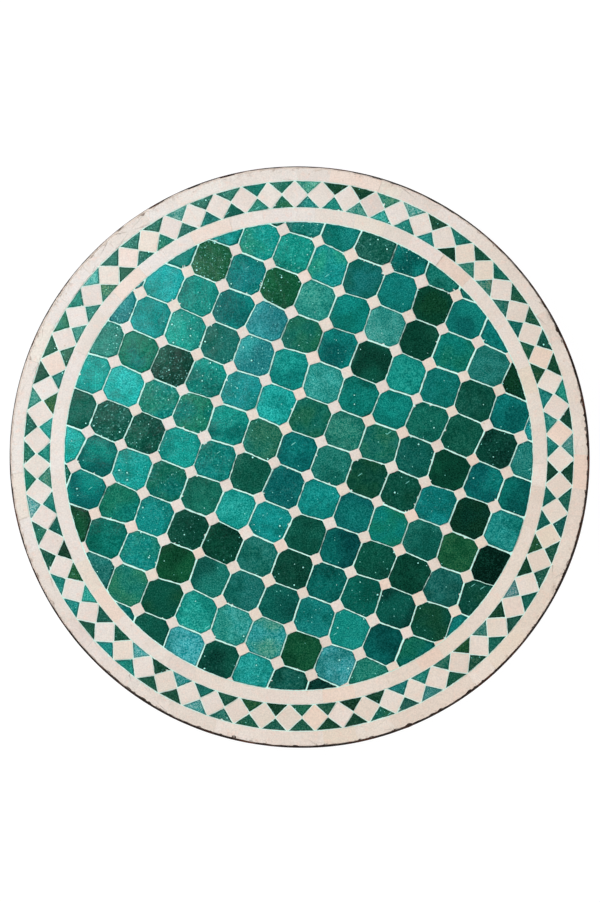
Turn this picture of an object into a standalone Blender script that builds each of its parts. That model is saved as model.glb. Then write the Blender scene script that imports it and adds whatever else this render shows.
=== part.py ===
"""Round mosaic table top: cut glazed tiles bedded in mortar inside an iron hoop.

Metres, +Z up. The origin is at the centre of the underside and the mosaic looks up.
Every tile is its cell of the pattern drawn in by half a joint. Tiles of one kind that lie in one row, or in
one arc of a ring, are a single body, tied together by the grout that fills the joints between them.
"""

from collections import defaultdict
from math import ceil, cos, pi, radians, sin, sqrt, tau

import bmesh
import bpy
from mathutils import Matrix, Vector

# Overall size and layers, from the underside up
TABLE_DIAMETER = 0.600
SLAB_THICKNESS = 0.012
BED_THICKNESS = 0.008
TILE_THICKNESS = 0.010
RIM_THICKNESS = 0.002
SEAT_GAP = 0.0003
ROUND_SIDES = 96

# Joints between tiles
JOINT = 0.0014
GROUT_RECESS = 0.001
GROUT_TIE = 0.0007

# Rings, from the hoop inwards
OUTER_RING_WIDTH = 0.01415
BORDER_WIDTH = 0.02745
INNER_RING_WIDTH = 0.01465
OUTER_RING_TILES = 47
INNER_RING_TILES = 47
BORDER_REPEATS = 63
BORDER_START = radians(2.14)
RING_ARCS = 3
MOSAIC_CENTRE = Vector((-0.0010, 0.0011))

# Field of octagons, with a small square at each meeting of four
FIELD_PITCH = 0.0382
SQUARE_SIDE = 0.0104
FIELD_ANGLE = radians(-20.84)
FIELD_ORIGIN = Vector((0.0087, -0.0196))
FIELD_SIDES = 90
SMALLEST_TILE_SIDE = 0.0055
SHORTEST_EDGE = 0.0003

# Ironwork under and inside the mortar
BAR_WIDTH = 0.025
BAR_THICKNESS = 0.004
ROD_DIAMETER = 0.004
ROD_SPACING = 0.240
ROD_COVER = 0.020
ROD_SIDES = 12

# Worked out from the sizes above
RIM_HEIGHT = SLAB_THICKNESS + BED_THICKNESS + TILE_THICKNESS
RIM_OUTER_RADIUS = TABLE_DIAMETER / 2
RIM_INNER_RADIUS = RIM_OUTER_RADIUS - RIM_THICKNESS
MORTAR_RADIUS = RIM_INNER_RADIUS - SEAT_GAP
SLAB_TOP = SLAB_THICKNESS - SEAT_GAP / 2
BED_FLOOR = SLAB_THICKNESS + SEAT_GAP / 2
BED_TOP = SLAB_THICKNESS + BED_THICKNESS - SEAT_GAP
TILE_FLOOR = SLAB_THICKNESS + BED_THICKNESS
TILE_TOP = RIM_HEIGHT
GROUT_TOP = TILE_TOP - GROUT_RECESS
BORDER_OUTER_RADIUS = RIM_INNER_RADIUS - OUTER_RING_WIDTH
BORDER_INNER_RADIUS = BORDER_OUTER_RADIUS - BORDER_WIDTH
BORDER_MIDDLE_RADIUS = (BORDER_OUTER_RADIUS + BORDER_INNER_RADIUS) / 2
FIELD_RADIUS = BORDER_INNER_RADIUS - INNER_RING_WIDTH
BORDER_STEP = tau / BORDER_REPEATS
SQUARE_CELL_REACH = (SQUARE_SIDE + JOINT) / sqrt(2)
ROWS_EACH_WAY = ceil((FIELD_RADIUS + (MOSAIC_CENTRE - FIELD_ORIGIN).length) / FIELD_PITCH) + 1

# Working limits of the outlines
WELD = 1e-6
FACING_COSINE = cos(radians(30))
SMOOTH_ANGLE = radians(30)


def make_material(name, colour, roughness, metallic=0.0):
    """A plain surface of one colour."""
    material = bpy.data.materials.new(name)
    material.use_nodes = True
    shader = material.node_tree.nodes["Principled BSDF"]
    shader.inputs["Base Color"].default_value = (*colour, 1.0)
    shader.inputs["Roughness"].default_value = roughness
    shader.inputs["Metallic"].default_value = metallic
    material.diffuse_color = (*colour, 1.0)
    return material


def make_object(name, body, material, parent, smooth=False):
    """Turn a finished bmesh into a named object under a parent."""
    mesh = bpy.data.meshes.new(name)
    body.to_mesh(mesh)
    body.free()
    mesh.materials.append(material)
    if smooth:
        mesh.shade_smooth()
        mesh.set_sharp_from_angle(angle=SMOOTH_ANGLE)
    piece = bpy.data.objects.new(name, mesh)
    bpy.context.collection.objects.link(piece)
    piece.parent = parent
    return piece


def make_empty(name, place, turn, parent=None):
    """An empty that carries a group of pieces."""
    empty = bpy.data.objects.new(name, None)
    bpy.context.collection.objects.link(empty)
    empty.location = (*place, 0.0)
    empty.rotation_euler.z = turn
    empty.parent = parent
    return empty


# Outlines: lists of 2-D corners, counter-clockwise and convex

def on_circle(radius, angle):
    """A point on a circle about the origin."""
    return Vector((radius * cos(angle), radius * sin(angle)))


def edges_of(corners):
    """Each corner with the next one, all the way round."""
    return list(zip(corners, corners[1:] + corners[:1]))


def outward(edge):
    """Unit normal of an edge, pointing out of its outline."""
    along = (edge[1] - edge[0]).normalized()
    return Vector((along.y, -along.x))


def area_of(corners):
    """Area of an outline."""
    return sum(start.cross(end) for start, end in edges_of(corners)) / 2


def inset(corners, distance):
    """The outline drawn in by one distance on every side."""
    sides = edges_of(corners)
    drawn_in = []
    for before, after in zip(sides[-1:] + sides[:-1], sides):
        first, second = outward(before), outward(after)
        bisector = (first + second) / (1 + first.dot(second))
        drawn_in.append(after[0] - bisector * distance)
    return drawn_in


def clip(corners, normal, reach):
    """The part of an outline that lies no further than a reach along a normal."""
    kept = []
    for start, end in edges_of(corners):
        start_over = start.dot(normal) - reach
        end_over = end.dot(normal) - reach
        if start_over <= 0:
            kept.append(start)
        if start_over * end_over < 0:
            kept.append(start.lerp(end, start_over / (start_over - end_over)))
    return kept


def clip_to_circle(corners, centre, radius):
    """The part of an outline inside a many-sided circle."""
    for side in range(FIELD_SIDES):
        normal = on_circle(1.0, (side + 0.5) * tau / FIELD_SIDES)
        corners = clip(corners, normal, normal.dot(centre) + radius * cos(pi / FIELD_SIDES))
    return [end for start, end in edges_of(corners) if (end - start).length > SHORTEST_EDGE]


def facing_edge(corners, direction):
    """The edge that looks most nearly along a direction, or None where no edge does."""
    edge = max(edges_of(corners), key=lambda candidate: outward(candidate).dot(direction))
    return edge if outward(edge).dot(direction) > FACING_COSINE else None


def grout_between(tile, next_tile, direction):
    """Outline of the grout between the facing edges of two tiles, or None where they don't face."""
    if not tile or not next_tile:
        return None
    near = facing_edge(tile, direction)
    far = facing_edge(next_tile, -direction)
    if not near or not far:
        return None
    return [near[1], near[0], far[1], far[0]]


# Solids

def raise_wall(body, left, right):
    """Triangles between two upright columns of vertices with the same foot and head."""
    left_at, right_at = 0, 0
    while left_at < len(left) - 1 or right_at < len(right) - 1:
        left_done = left_at == len(left) - 1
        right_done = right_at == len(right) - 1
        if right_done or (not left_done and left[left_at + 1].co.z <= right[right_at + 1].co.z):
            body.faces.new((left[left_at], right[right_at], left[left_at + 1]))
            left_at += 1
        else:
            body.faces.new((left[left_at], right[right_at], right[right_at + 1]))
            right_at += 1


def stepped_solid(regions, floor_height):
    """One closed body on a flat floor, from (outline, top height) regions that share whole edges."""
    keyed = []
    levels = defaultdict(lambda: {floor_height})
    edge_tops = {}
    for corners, top in regions:
        keys = [(round(corner.x / WELD), round(corner.y / WELD)) for corner in corners]
        keyed.append((keys, top))
        for key, next_key in edges_of(keys):
            levels[key].add(top)
            edge_tops[key, next_key] = top
    body = bmesh.new()
    vertices = {(key, height): body.verts.new((key[0] * WELD, key[1] * WELD, height))
                for key in levels for height in levels[key]}
    for keys, top in keyed:
        body.faces.new([vertices[key, top] for key in keys])
        body.faces.new([vertices[key, floor_height] for key in reversed(keys)])
        for start, end in edges_of(keys):
            foot = edge_tops.get((end, start), floor_height)
            if foot < top:
                columns = [[vertices[key, height] for height in sorted(levels[key]) if foot <= height <= top]
                           for key in (start, end)]
                raise_wall(body, *columns)
    return body


def box(size, place):
    """A box of a given size about a place."""
    body = bmesh.new()
    bmesh.ops.create_cube(body, matrix=Matrix.LocRotScale(place, None, size))
    return body


def round_plate(radius, bottom, top):
    """A round plate between two heights."""
    body = bmesh.new()
    middle = Matrix.Translation((0, 0, (bottom + top) / 2))
    bmesh.ops.create_cone(body, cap_ends=True, segments=ROUND_SIDES, radius1=radius, radius2=radius,
                          depth=top - bottom, matrix=middle)
    return body


def cut(piece, name, body):
    """Cut a body out of a piece."""
    mesh = bpy.data.meshes.new(name)
    body.to_mesh(mesh)
    body.free()
    cutter = bpy.data.objects.new(name, mesh)
    bpy.context.collection.objects.link(cutter)
    cutter.parent = piece.parent
    cutter.hide_render = True
    cutter.display_type = 'WIRE'
    difference = piece.modifiers.new(name, 'BOOLEAN')
    difference.operation = 'DIFFERENCE'
    difference.object = cutter


# Rows and arcs of tiles

def longest_run(tiles, ties):
    """Regions of the longest run of neighbouring tiles that grout ties together."""
    runs = [[]]
    for tile, tie in zip(tiles, ties + [None]):
        if tile:
            runs[-1].append((tile, TILE_TOP))
        if tie:
            runs[-1].append((tie, GROUT_TOP))
        else:
            runs.append([])
    return max(runs, key=len)


def octagon_tile(centre):
    """Outline of one whole octagon: a square of the pitch with its corners cut for the small squares."""
    half = FIELD_PITCH / 2
    flat = half - SQUARE_CELL_REACH
    cell = [(half, -flat), (half, flat), (flat, half), (-flat, half),
            (-half, flat), (-half, -flat), (-flat, -half), (flat, -half)]
    return inset([centre + Vector(corner) for corner in cell], JOINT / 2)


def square_tile(centre):
    """Outline of one small square, its points along the row blunted to the width of a grout tie."""
    cell = [centre + on_circle(SQUARE_CELL_REACH, quarter * pi / 2) for quarter in range(4)]
    tile = inset(cell, JOINT / 2)
    along = Vector((1, 0))
    reach = SQUARE_SIDE / sqrt(2) - GROUT_TIE / 2
    tile = clip(tile, along, along.dot(centre) + reach)
    return clip(tile, -along, reach - along.dot(centre))


def field_row(row, offset, tile_at, field_centre):
    """Regions of one row of the field: whole tiles, and the end ones cut by the round edge."""
    tiles = []
    for column in range(-ROWS_EACH_WAY, ROWS_EACH_WAY):
        centre = Vector((column, row)) * FIELD_PITCH + Vector((offset, offset))
        tile = clip_to_circle(tile_at(centre), field_centre, FIELD_RADIUS - JOINT / 2)
        tiles.append(tile if area_of(tile) > SMALLEST_TILE_SIDE ** 2 else None)
    along = Vector((1, 0))
    ties = [grout_between(tile, next_tile, along) for tile, next_tile in zip(tiles, tiles[1:])]
    return longest_run(tiles, ties)


def row_name(name, row):
    """Name of a row by its place: the middle one, or so many rows up or down from it."""
    if row == 0:
        return f"{name}_middle"
    return f"{name}_{'up' if row > 0 else 'down'}_{abs(row)}"


def make_field(name, offset, tile_at, material, parent):
    """Every row of one kind of tile in the field, at an offset both ways from the small squares."""
    field_centre = Matrix.Rotation(-FIELD_ANGLE, 2) @ (MOSAIC_CENTRE - FIELD_ORIGIN)
    for row in range(-ROWS_EACH_WAY, ROWS_EACH_WAY):
        regions = field_row(row, offset, tile_at, field_centre)
        if regions:
            make_object(row_name(name, row), stepped_solid(regions, TILE_FLOOR), material, parent)


def reach_to_hoop(angle):
    """Distance from the mosaic's centre to the inside of the hoop, which has its own centre."""
    along = MOSAIC_CENTRE.dot(on_circle(1.0, angle))
    return sqrt(along ** 2 - MOSAIC_CENTRE.length_squared + RIM_INNER_RADIUS ** 2) - along


def ring_tile(inner_radius, outer_reach, count, number):
    """Outline of one tile of a plain ring, between two radial joints."""
    first, last = number * tau / count, (number + 1) * tau / count
    cell = [on_circle(inner_radius, first), on_circle(outer_reach(first), first),
            on_circle(outer_reach(last), last), on_circle(inner_radius, last)]
    return inset(cell, JOINT / 2)


def outer_ring_tile(number):
    """Outline of one tile of the ring beside the hoop."""
    return ring_tile(BORDER_OUTER_RADIUS, reach_to_hoop, OUTER_RING_TILES, number)


def inner_ring_tile(number):
    """Outline of one tile of the ring round the field."""
    return ring_tile(FIELD_RADIUS, lambda angle: BORDER_INNER_RADIUS, INNER_RING_TILES, number)


def blunt_sideways(tile, angle, amount):
    """An outline with its two points along the ring cut back by an amount."""
    tangent = on_circle(1.0, angle + pi / 2)
    for direction in (tangent, -tangent):
        reach = max(corner.dot(direction) for corner in tile)
        tile = clip(tile, direction, reach - amount)
    return tile


def border_triangle(number, base_radius):
    """Outline of one border triangle, its tip on the middle of the border."""
    angle = BORDER_START + number * BORDER_STEP
    half = BORDER_STEP / 2 if base_radius > BORDER_MIDDLE_RADIUS else -BORDER_STEP / 2
    cell = [on_circle(BORDER_MIDDLE_RADIUS, angle), on_circle(base_radius, angle - half),
            on_circle(base_radius, angle + half)]
    return blunt_sideways(inset(cell, JOINT / 2), angle, GROUT_TIE)


def outer_triangle(number):
    """Outline of one triangle that points inwards."""
    return border_triangle(number, BORDER_OUTER_RADIUS)


def inner_triangle(number):
    """Outline of one triangle that points outwards."""
    return border_triangle(number, BORDER_INNER_RADIUS)


def border_diamond(number):
    """Outline of one border diamond, its points stopped short of the grout that ties the triangles."""
    angle = BORDER_START + (number + 0.5) * BORDER_STEP
    cell = [on_circle(BORDER_INNER_RADIUS, angle), on_circle(BORDER_MIDDLE_RADIUS, angle - BORDER_STEP / 2),
            on_circle(BORDER_OUTER_RADIUS, angle), on_circle(BORDER_MIDDLE_RADIUS, angle + BORDER_STEP / 2)]
    tile = blunt_sideways(inset(cell, JOINT / 2), angle, GROUT_TIE / 2)
    tangent = on_circle(1.0, angle + pi / 2)
    for triangle, outwards in ((outer_triangle, 1), (inner_triangle, -1)):
        tie = grout_between(triangle(number), triangle(number + 1), tangent)
        normal = on_circle(outwards, angle)
        reach = min(corner.dot(normal) for corner in tie)
        tile = clip(tile, normal, reach - SEAT_GAP)
    return tile


def make_ring(name, count, tile_at, first_angle, material, parent):
    """One ring of tiles in equal arcs, numbered counter-clockwise."""
    for arc in range(RING_ARCS):
        numbers = range(arc * count // RING_ARCS, (arc + 1) * count // RING_ARCS)
        tiles = [tile_at(number) for number in numbers]
        ties = []
        for number, tile, next_tile in zip(numbers, tiles, tiles[1:]):
            seam = first_angle + (number + 1) * tau / count
            ties.append(grout_between(tile, next_tile, on_circle(1.0, seam + pi / 2)))
        body = stepped_solid(longest_run(tiles, ties), TILE_FLOOR)
        make_object(f"{name}_{arc + 1}", body, material, parent)


# Hoop, mortar and ironwork

def make_rim(material, parent):
    """The iron hoop, a flat strip bent round and standing on edge."""
    angles = [side * tau / ROUND_SIDES for side in range(ROUND_SIDES + 1)]
    regions = []
    for first, last in zip(angles, angles[1:]):
        outline = [on_circle(RIM_INNER_RADIUS, first), on_circle(RIM_OUTER_RADIUS, first),
                   on_circle(RIM_OUTER_RADIUS, last), on_circle(RIM_INNER_RADIUS, last)]
        regions.append((outline, RIM_HEIGHT))
    make_object("rim_band", stepped_solid(regions, 0.0), material, parent, smooth=True)


def make_cross(material, parent):
    """The cross of flat bars at the underside: one long bar and two short ones that meet it."""
    reach = sqrt(MORTAR_RADIUS ** 2 - (BAR_WIDTH / 2) ** 2)
    start = BAR_WIDTH / 2 + SEAT_GAP
    length = reach - start
    height = BAR_THICKNESS / 2
    long_bar = box((2 * reach, BAR_WIDTH, BAR_THICKNESS), (0, 0, height))
    make_object("cross_bar_long", long_bar, material, parent)
    for name, side in (("cross_bar_short_1", 1), ("cross_bar_short_2", -1)):
        short_bar = box((BAR_WIDTH, length, BAR_THICKNESS), (0, side * (start + length / 2), height))
        make_object(name, short_bar, material, parent)


def rod_reach():
    """Half the length of a reinforcing rod, which stops short of the hoop by its cover."""
    return sqrt((MORTAR_RADIUS - ROD_COVER) ** 2 - (ROD_SPACING / 2) ** 2)


def make_rods(material, parent):
    """Two layers of reinforcing rods: one along X in the slab, one along Y above it in the bed."""
    layers = (("rod_lengthwise", 0, SLAB_TOP - ROD_DIAMETER / 2),
              ("rod_crosswise", 1, BED_FLOOR + ROD_DIAMETER / 2))
    for name, axis, height in layers:
        turn = Matrix.Rotation(pi / 2, 4, 'X' if axis else 'Y')
        for number, side in ((1, 1), (2, -1)):
            place = Vector((0, 0, height))
            place[1 - axis] = side * ROD_SPACING / 2
            rod = bmesh.new()
            bmesh.ops.create_cone(rod, cap_ends=True, segments=ROD_SIDES, radius1=ROD_DIAMETER / 2,
                                  radius2=ROD_DIAMETER / 2, depth=2 * rod_reach(),
                                  matrix=Matrix.Translation(place) @ turn)
            make_object(f"{name}_{number}", rod, material, parent, smooth=True)


def cut_rod_grooves(piece, axis, surface, inwards):
    """Grooves for one layer of rods, open at a surface of the mortar and as deep as a rod and its gap."""
    depth = ROD_DIAMETER + SEAT_GAP
    size = Vector((0, 0, 2 * depth))
    size[axis] = 2 * (rod_reach() + SEAT_GAP)
    size[1 - axis] = ROD_DIAMETER + 2 * SEAT_GAP
    for number, side in ((1, 1), (2, -1)):
        place = Vector((0, 0, surface + inwards * (depth - size.z / 2)))
        place[1 - axis] = side * ROD_SPACING / 2
        cut(piece, f"{piece.name}_groove_{number}", box(size, place))


def make_slab(material, parent):
    """The coarse mortar at the back, slotted underneath for the cross and on top for the rods."""
    plate = round_plate(MORTAR_RADIUS, 0.0, SLAB_TOP)
    slab = make_object("backing_slab", plate, material, parent, smooth=True)
    slot_width = BAR_WIDTH + 2 * SEAT_GAP
    slot_height = 2 * (BAR_THICKNESS + SEAT_GAP)
    cut(slab, "slot_long", box((TABLE_DIAMETER, slot_width, slot_height), (0, 0, 0)))
    cut(slab, "slot_short", box((slot_width, TABLE_DIAMETER, slot_height), (0, 0, 0)))
    cut_rod_grooves(slab, 0, SLAB_TOP, -1)


def make_bed(material, parent):
    """The fine mortar under the tiles, grooved underneath for the upper rods."""
    plate = round_plate(MORTAR_RADIUS, BED_FLOOR, BED_TOP)
    bed = make_object("setting_bed", plate, material, parent, smooth=True)
    cut_rod_grooves(bed, 1, BED_FLOOR, 1)


def main():
    """Build the whole table top."""
    for old in list(bpy.data.objects):
        bpy.data.objects.remove(old)

    green = make_material("green_glaze", (0.035, 0.195, 0.155), 0.25)
    ivory = make_material("ivory_glaze", (0.79, 0.68, 0.59), 0.35)
    fine_mortar = make_material("fine_mortar", (0.62, 0.60, 0.55), 0.9)
    coarse_mortar = make_material("coarse_mortar", (0.36, 0.35, 0.33), 0.95)
    iron = make_material("dark_iron", (0.035, 0.028, 0.024), 0.55, metallic=0.8)
    rod_iron = make_material("rod_iron", (0.10, 0.07, 0.055), 0.6, metallic=0.8)

    table = make_empty("table_top", (0, 0), 0.0)
    make_rim(iron, table)
    make_slab(coarse_mortar, table)
    make_bed(fine_mortar, table)
    make_cross(iron, table)
    make_rods(rod_iron, table)

    rings = make_empty("rings", MOSAIC_CENTRE, 0.0, table)
    make_ring("outer_ring_tiles", OUTER_RING_TILES, outer_ring_tile, 0.0, ivory, rings)
    triangle_start = BORDER_START - BORDER_STEP / 2
    make_ring("border_outer_triangles", BORDER_REPEATS, outer_triangle, triangle_start, green, rings)
    make_ring("border_diamonds", BORDER_REPEATS, border_diamond, BORDER_START, ivory, rings)
    make_ring("border_inner_triangles", BORDER_REPEATS, inner_triangle, triangle_start, green, rings)
    make_ring("inner_ring_tiles", INNER_RING_TILES, inner_ring_tile, 0.0, ivory, rings)

    field = make_empty("field", FIELD_ORIGIN, FIELD_ANGLE, table)
    make_field("octagon_row", FIELD_PITCH / 2, octagon_tile, green, field)
    make_field("square_row", 0.0, square_tile, ivory, field)


main()
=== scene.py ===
"""Looks of the round mosaic table top.

Metres, +Z up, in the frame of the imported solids. Every tile is cut again with the wavy, chipped outline of
hand work and its own shade of glaze, and set in pale grout inside a worn iron hoop with a mortar back.
Points of the plan are complex numbers: the real part is X and the imaginary part is Y.
"""

import random
from functools import lru_cache, partial
from math import cos, pi, radians, sin, sqrt, tau
from typing import NamedTuple

import bpy
import numpy as np
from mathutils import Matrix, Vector


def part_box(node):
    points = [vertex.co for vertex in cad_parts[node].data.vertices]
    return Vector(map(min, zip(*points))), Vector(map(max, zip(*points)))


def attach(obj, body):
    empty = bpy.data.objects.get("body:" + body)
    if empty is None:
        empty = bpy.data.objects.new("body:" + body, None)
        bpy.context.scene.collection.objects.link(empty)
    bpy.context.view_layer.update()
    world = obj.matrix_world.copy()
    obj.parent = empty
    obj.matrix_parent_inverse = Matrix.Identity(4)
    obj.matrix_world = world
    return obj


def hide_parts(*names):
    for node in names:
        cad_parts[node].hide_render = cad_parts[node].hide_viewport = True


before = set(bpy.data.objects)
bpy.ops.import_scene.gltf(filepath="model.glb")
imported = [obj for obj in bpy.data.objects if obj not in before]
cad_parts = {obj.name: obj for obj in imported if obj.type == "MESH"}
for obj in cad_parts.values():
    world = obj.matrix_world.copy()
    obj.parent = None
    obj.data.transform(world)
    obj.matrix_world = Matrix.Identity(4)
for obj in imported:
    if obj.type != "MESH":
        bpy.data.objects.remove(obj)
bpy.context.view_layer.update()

# Heights and radii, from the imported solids
RIM_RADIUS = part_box("rim_band")[1].x
TABLE_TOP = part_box("rim_band")[1].z
TILE_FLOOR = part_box("octagon_row_middle")[0].z
SLAB_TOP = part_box("backing_slab")[1].z
MORTAR_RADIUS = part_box("backing_slab")[1].x
BAR_HALF_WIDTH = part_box("cross_bar_long")[1].y
BAR_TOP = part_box("cross_bar_long")[1].z
BAR_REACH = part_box("cross_bar_long")[1].x

# Pattern, as on the solids
RIM_THICKNESS = 0.002
SEAT_GAP = 0.0003
OUTER_RING_WIDTH = 0.01415
BORDER_WIDTH = 0.02745
INNER_RING_WIDTH = 0.01465
RING_TILES = 47
BORDER_REPEATS = 63
BORDER_START = radians(2.14)
RING_ARCS = 3
MOSAIC_CENTRE = complex(-0.0010, 0.0011)
FIELD_PITCH = 0.0382
SQUARE_SIDE = 0.0104
FIELD_ANGLE = radians(-20.84)
FIELD_ORIGIN = complex(0.0087, -0.0196)
OCTAGON_ROWS = range(-6, 7)
SQUARE_ROWS = range(-5, 7)
ROWS_EACH_WAY = 8

# Worked out from the sizes above
RIM_INNER_RADIUS = RIM_RADIUS - RIM_THICKNESS
BORDER_OUTER_RADIUS = RIM_INNER_RADIUS - OUTER_RING_WIDTH
BORDER_INNER_RADIUS = BORDER_OUTER_RADIUS - BORDER_WIDTH
BORDER_MIDDLE_RADIUS = (BORDER_OUTER_RADIUS + BORDER_INNER_RADIUS) / 2
FIELD_RADIUS = BORDER_INNER_RADIUS - INNER_RING_WIDTH
BORDER_STEP = tau / BORDER_REPEATS
HOOP_CENTRE = (0.0, 0.0, TABLE_TOP)

# Hand work: how far things stray from the drawn pattern
TILE_SEED = 140081
LATTICE_STRAY = 0.00055
SQUARE_TURN = radians(3)
SQUARE_SPREAD = 0.05
BORDER_STRAY = 0.0005
SEAM_STRAY = 0.16
HEIGHT_SHARE = 0.6
SHORTEST_REACH = 0.004
MOST_RISE = 0.0003
HOOP_OVAL = 0.0009
HOOP_OVAL_ANGLE = radians(120)
HOOP_SHRINK = 0.0004

# Edges and faces of the tiles: wavelengths and their shares, and ranges of random picks
EDGE_WAVES = ((0.011, 1.0), (0.004, 0.7))
FACE_WAVELENGTH = 0.024
DOMES_PER_WAVE = 3
DOME_LEVEL = 0.5
PITCH_SPREAD = (0.6, 1.7)
CHIP_WIDTHS = (1.0, 2.6)
CHIP_DEPTHS = (0.4, 1.2)

# Joints: half of one lies between the line of the pattern and the edge of a tile
SQUARE_JOINT = 0.0005
SQUARE_CELL_REACH = (SQUARE_SIDE + SQUARE_JOINT) / sqrt(2)
OCTAGON_GAPS = (0.00060, 0.00012) * 4
GAP_SPREAD = (0.5, 1.5)
SQUARE_GAP = 0.00008
TRIANGLE_SIDE_GAP = 0.00072
OUTER_BASE_GAP = 0.00016
INNER_BASE_GAP = 0.00044
DIAMOND_GAP = 0.00010
DIAMOND_TIP_GAP = 0.00035
RING_SIDE_GAP = 0.00038
RING_SEAM_GAP = 0.00001
SMALLEST_TILE_AREA = 0.000009
CIRCLE_SIDES = 180
RING_BENDS = 5

# Section of a tile, from its wall to its face: how far in from its outline and how far below its face
TILE_BACK_INSET = 0.0012
TILE_EDGES = ((0.0, 0.0014), (0.0, 0.00045), (0.00010, 0.00014), (0.00032, 0.00003), (0.0013, 0.0))
SHOULDER_INSET = TILE_EDGES[-1][0]
LIP_DROP = TILE_EDGES[2][1]
TILE_FACE_SHARES = (0.80, 0.55, 0.28)
DEEPEST_INSET = 0.45
PLACE_SPREAD = 5.0
GROUT_DEPTH = 0.00016
LEAST_LIP = 0.00006


# Outlines: complex corners, counter-clockwise

def on_circle(radius, angle):
    """A point on a circle about the origin."""
    return radius * np.exp(1j * angle)


def inset_sides(corners, gaps):
    """Corners of a convex outline with each side moved in by its own gap."""
    along = np.roll(corners, -1) - corners
    along = along / abs(along)
    start = corners + 1j * along * gaps
    before, before_along = np.roll(start, 1), np.roll(along, 1)
    turn = (before_along.conj() * along).imag
    reach = ((start - before).conj() * along).imag / turn
    return before + reach * before_along


def clip(corners, normal, reach):
    """The part of an outline that lies no further than a reach along a normal."""
    over = (corners * np.conj(normal)).real - reach
    kept = []
    for here, there, over_here, over_there in zip(corners, np.roll(corners, -1), over, np.roll(over, -1)):
        if over_here <= 0:
            kept.append(here)
        if over_here * over_there < 0:
            kept.append(here + (there - here) * over_here / (over_here - over_there))
    return np.array(kept)


def clip_to_circle(corners, centre, radius):
    """The part of an outline inside a circle."""
    if abs(corners - centre).max() <= radius:
        return corners
    for side in range(CIRCLE_SIDES):
        normal = on_circle(1.0, (side + 0.5) * tau / CIRCLE_SIDES)
        reach = (centre * np.conj(normal)).real + radius * cos(pi / CIRCLE_SIDES)
        if len(corners):
            corners = clip(corners, normal, reach)
    return corners


def area_of(corners):
    """Area of an outline."""
    return (corners.conj() * np.roll(corners, -1)).imag.sum() / 2


def round_corners(corners, reach, steps=4):
    """An outline with each corner turned into a short curve that starts a reach before it."""
    rounded = []
    for before, corner, after in zip(np.roll(corners, 1), corners, np.roll(corners, -1)):
        start = corner + (before - corner) * min(reach / abs(before - corner), DEEPEST_INSET)
        end = corner + (after - corner) * min(reach / abs(after - corner), DEEPEST_INSET)
        for share in np.linspace(0, 1, steps):
            rounded.append((1 - share) ** 2 * start + 2 * share * (1 - share) * corner + share ** 2 * end)
    return np.array(rounded)


def resample(corners, spacing):
    """An outline with points put in along its long sides."""
    points = []
    for start, end in zip(corners, np.roll(corners, -1)):
        count = max(1, round(abs(end - start) / spacing))
        points.extend(start + (end - start) * np.arange(count) / count)
    return np.array(points)


def ripple(points, draw, wavelength, waves=6):
    """Smooth unevenness of about one: a few crossing waves."""
    total = np.zeros(len(points))
    for _ in range(waves):
        pitch = on_circle(tau / wavelength * draw.uniform(*PITCH_SPREAD), draw.uniform(0, tau))
        total += np.sin((points * np.conj(pitch)).real + draw.uniform(0, tau))
    return total / sqrt(waves)


# Kinds of tile

class TileKind(NamedTuple):
    """How a kind of tile is cut, with its usual number of chips and its share of the common bevel."""

    corner: float = 0.0003
    spacing: float = 0.0010
    wave: float = 0.00010
    chips: float = 0.3
    chip_depth: float = 0.0005
    dome: float = 0.00006
    bevel: float = 0.35
    edge_stray: float = 0.00004


OCTAGON = TileKind(corner=0.0010, spacing=0.0011, wave=0.00016, chips=1.1, chip_depth=0.0006, dome=0.00020,
                   bevel=1.0, edge_stray=0.00014)
SQUARE = TileKind(corner=0.0004, wave=0.00012, chip_depth=0.0004, dome=0.00008, bevel=0.3, edge_stray=0.00007)
TRIANGLE = TileKind(spacing=0.0008, chips=0.5, chip_depth=0.0007, dome=0.00010, bevel=0.8, edge_stray=0.00014)
DIAMOND = TileKind(corner=0.0005, spacing=0.0012, dome=0.00010, edge_stray=0.00008)
RING_TILE = TileKind(spacing=0.0016, wave=0.00005, chips=0.2)
HOOP_TILE = TileKind(wave=0.00008, chips=5.0, chip_depth=0.0008)


# Glaze colours, as sRGB bytes, each with its share of the tiles

GREEN_GLAZES = {
    "bottle": ((3, 60, 44), 9),
    "fir": ((7, 77, 62), 15),
    "forest": ((12, 80, 50), 5),
    "pine": ((9, 95, 83), 13),
    "sea": ((6, 107, 97), 13),
    "sage": ((18, 107, 94), 10),
    "jade": ((7, 117, 108), 12),
    "teal": ((7, 121, 114), 8),
    "mint": ((13, 130, 121), 12),
    "mist": ((30, 132, 121), 5),
    "turquoise": ((36, 144, 142), 7),
}
IVORY_GLAZES = {
    "ivory": ((229, 217, 206), 16),
    "peach": ((234, 214, 199), 3),
    "chalk": ((231, 220, 210), 5),
    "cream": ((231, 218, 203), 4),
}

# How much a tile strays from its colour in tone and in hue
GREEN_STRAY = (0.10, 0.03)
IVORY_STRAY = (0.010, 0.004)

# How the glaze shifts in one part of a tile, as factors of red, green and blue with a share of the tiles
GREEN_SHIFTS = {
    "deep": ((0.44, 0.55, 0.57), 3),
    "clear": ((2.00, 1.37, 1.44), 4),
    "hazy": ((2.90, 1.39, 1.47), 2),
    "olive": ((2.10, 0.94, 0.70), 2),
}
IVORY_SHIFTS = {
    "shaded": ((0.97, 0.96, 0.95), 1),
    "chalky": ((1.01, 1.03, 1.05), 1),
}

# Painted light: the tiles are lighter, and the ivory a little cooler, towards the lit side: factors at the
# rim there, and one over them at the rim across
LIT_SIDE_DIRECTION = radians(144)
GREEN_LIT_SIDE = (1.30, 1.38, 1.38)
IVORY_LIT_SIDE = (1.0, 1.035, 1.075)


def linear(colour):
    """Linear colour of sRGB bytes."""
    share = np.array(colour) / 255
    return np.where(share > 0.04045, ((share + 0.055) / 1.055) ** 2.4, share / 12.92)


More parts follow.
